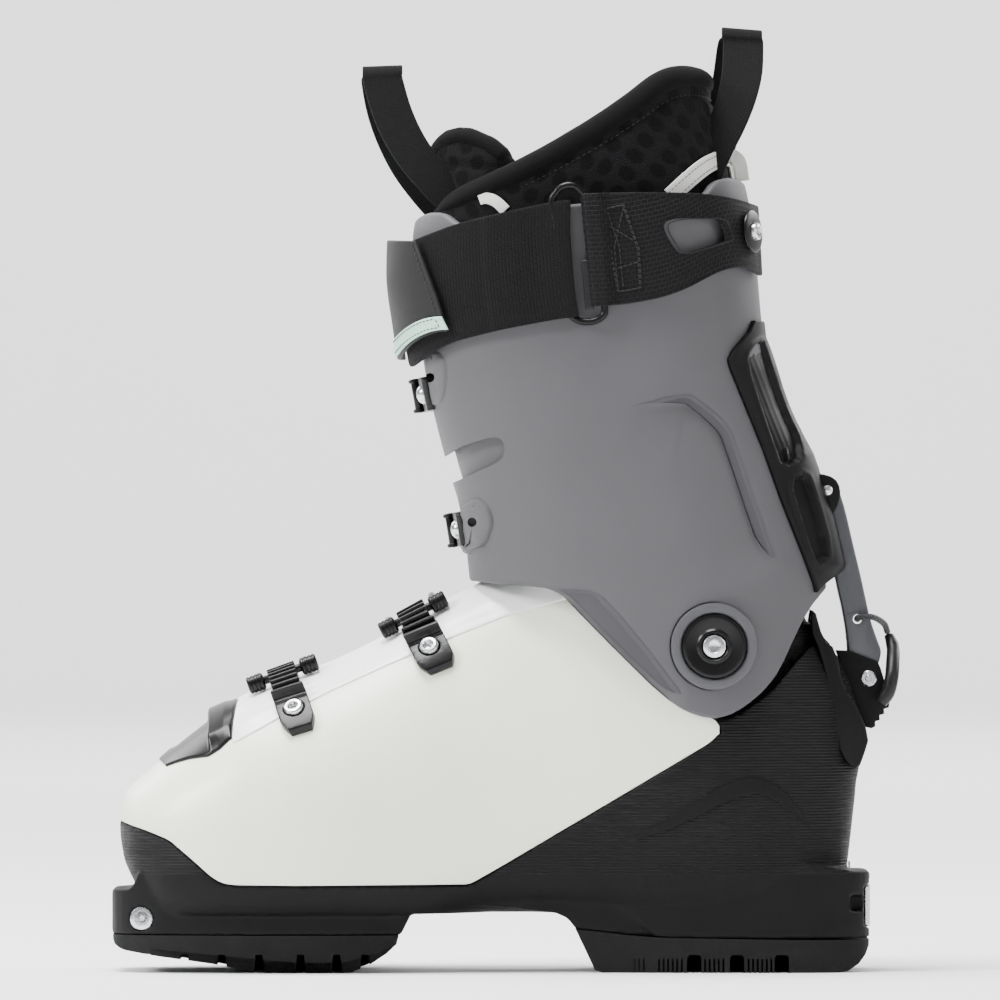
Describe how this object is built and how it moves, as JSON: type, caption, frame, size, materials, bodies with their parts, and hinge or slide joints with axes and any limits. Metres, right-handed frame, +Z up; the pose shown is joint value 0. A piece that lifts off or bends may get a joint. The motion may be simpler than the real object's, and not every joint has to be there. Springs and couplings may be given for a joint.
{
  "type": "ski boot",
  "caption": "Alpine touring ski boot with a hinged cuff, buckles, power strap, removable liner, walk lever and touring toe and heel fittings on a treaded sole.",
  "frame": {"origin": "middle of the boot's footprint box, on the ground plane under the sole", "axes": "+Z up, -X toward the toe, +X toward the heel, -Y toward the inner side of the right foot"},
  "size_m": [0.2959, 0.1256, 0.3543],
  "materials": {
    "shell_plastic": "satin moulded plastic",
    "flap_plastic": "translucent white moulded plastic",
    "black_plastic": "fine-ribbed moulded plastic",
    "cuff_plastic": "matte moulded plastic",
    "sole_rubber": "moulded tread rubber",
    "webbing": "ribbed woven webbing",
    "strap_synthetic": "grained flexible synthetic",
    "steel": "bright zinc-plated",
    "dark_metal": "black coated",
    "lever_metal": "grey anodised",
    "liner_fabric": "spacer mesh over foam",
    "foam_sheet": "foam insole",
    "board_plastic": "moulded board",
    "black_gloss": "gloss moulded"
  },
  "bodies": {
    "base": {"lower_shell": "shell_plastic", "chassis": "black_plastic", "instep_flap": "flap_plastic", "toe_dam": "black_gloss", "boot_board": "board_plastic", "liner_foot": "liner_fabric", "footbed": "foam_sheet", "toe_sole": "sole_rubber", "heel_sole": "sole_rubber", "toe_insert": "steel", "heel_insert": "steel", "heel_insert_screw": "steel", "toe_buckle_base": "dark_metal", "toe_rack": "black_gloss", "toe_rack_screw": "steel", "instep_buckle_base": "dark_metal", "instep_rack": "black_gloss", "instep_rack_screw": "steel"},
    "cuff": {"cuff": "cuff_plastic", "spine_cover": "black_plastic", "arm_pin": "steel", "liner_cuff": "liner_fabric", "tongue": "liner_fabric", "tongue_loop": "webbing", "liner_loop": "webbing", "power_strap": "webbing", "strap_tab": "strap_synthetic", "strap_ring": "dark_metal", "rear_strap": "strap_synthetic", "strap_screw_medial": "steel", "strap_washer_medial": "steel", "strap_screw_lateral": "steel", "strap_washer_lateral": "steel", "lower_catch": "dark_metal", "lower_catch_rivet": "steel", "upper_catch": "dark_metal", "upper_catch_rivet": "steel", "lower_cuff_buckle_base": "dark_metal", "upper_cuff_buckle_base": "dark_metal", "pivot_disc_medial": "black_gloss", "pivot_screw_medial": "steel", "pivot_disc_lateral": "black_gloss", "pivot_screw_lateral": "steel"},
    "walk_arm": {"walk_arm": "lever_metal", "latch_block": "black_plastic", "latch_pin": "steel", "pull_cord": "webbing", "cord_sleeve": "sole_rubber"},
    "toe_lever": {"toe_buckle_lever": "dark_metal"},
    "toe_bail": {"toe_buckle_bail": "steel"},
    "instep_lever": {"instep_buckle_lever": "dark_metal"},
    "instep_bail": {"instep_buckle_bail": "steel"},
    "lower_cuff_lever": {"lower_cuff_buckle_lever": "dark_metal"},
    "lower_cuff_bail": {"lower_cuff_buckle_bail": "steel"},
    "upper_cuff_lever": {"upper_cuff_buckle_lever": "dark_metal"},
    "upper_cuff_bail": {"upper_cuff_buckle_bail": "steel"}
  },
  "joints": [
    {"name": "cuff_hinge", "type": "hinge", "parent": "base", "child": "cuff", "pos_m": [0.07925, 0.00151, 0.1221], "axis": [0, 1, 0], "range_deg": [-5, 16], "deforming": ["instep_flap", "cord_sleeve"]},
    {"name": "walk_lever", "type": "hinge", "parent": "cuff", "child": "walk_arm", "pos_m": [0.12225, 0.00151, 0.1803], "axis": [0, -1, 0], "range_deg": [0, 75]},
    {"name": "toe_lever_hinge", "type": "hinge", "parent": "base", "child": "toe_lever", "pos_m": [-0.07443, 0.05152, 0.0906], "axis": [0.9404, 0, 0.3401], "range_deg": [0, 100]},
    {"name": "toe_bail_hinge", "type": "hinge", "parent": "toe_lever", "child": "toe_bail", "pos_m": [-0.07035, 0.05694, 0.07933], "axis": [0.9404, 0, 0.3401], "range_deg": [-120, 0]},
    {"name": "instep_lever_hinge", "type": "hinge", "parent": "base", "child": "instep_lever", "pos_m": [-0.02264, 0.04455, 0.11353], "axis": [0.8879, 0, 0.46], "range_deg": [0, 100]},
    {"name": "instep_bail_hinge", "type": "hinge", "parent": "instep_lever", "child": "instep_bail", "pos_m": [-0.01691, 0.04889, 0.10246], "axis": [0.8879, 0, 0.46], "range_deg": [-120, 0]},
    {"name": "lower_cuff_lever_hinge", "type": "hinge", "parent": "cuff", "child": "lower_cuff_lever", "pos_m": [-0.00095, 0.04419, 0.16791], "axis": [-0.15, 0, 0.9887], "range_deg": [0, 100]},
    {"name": "lower_cuff_bail_hinge", "type": "hinge", "parent": "lower_cuff_lever", "child": "lower_cuff_bail", "pos_m": [0.01034, 0.05075, 0.16963], "axis": [-0.15, 0, 0.9887], "range_deg": [-120, 0]},
    {"name": "upper_cuff_lever_hinge", "type": "hinge", "parent": "cuff", "child": "upper_cuff_lever", "pos_m": [-0.015, 0.04523, 0.21864], "axis": [-0.1701, 0, 0.9854], "range_deg": [0, 100]},
    {"name": "upper_cuff_bail_hinge", "type": "hinge", "parent": "upper_cuff_lever", "child": "upper_cuff_bail", "pos_m": [-0.00411, 0.05222, 0.22051], "axis": [-0.1701, 0, 0.9854], "range_deg": [-120, 0]}
  ],
  "couplings": [
    {"joint": "toe_bail_hinge", "follows": "toe_lever_hinge", "ratio": -1.2},
    {"joint": "instep_bail_hinge", "follows": "instep_lever_hinge", "ratio": -1.2},
    {"joint": "lower_cuff_bail_hinge", "follows": "lower_cuff_lever_hinge", "ratio": -1.2},
    {"joint": "upper_cuff_bail_hinge", "follows": "upper_cuff_lever_hinge", "ratio": -1.2}
  ]
}
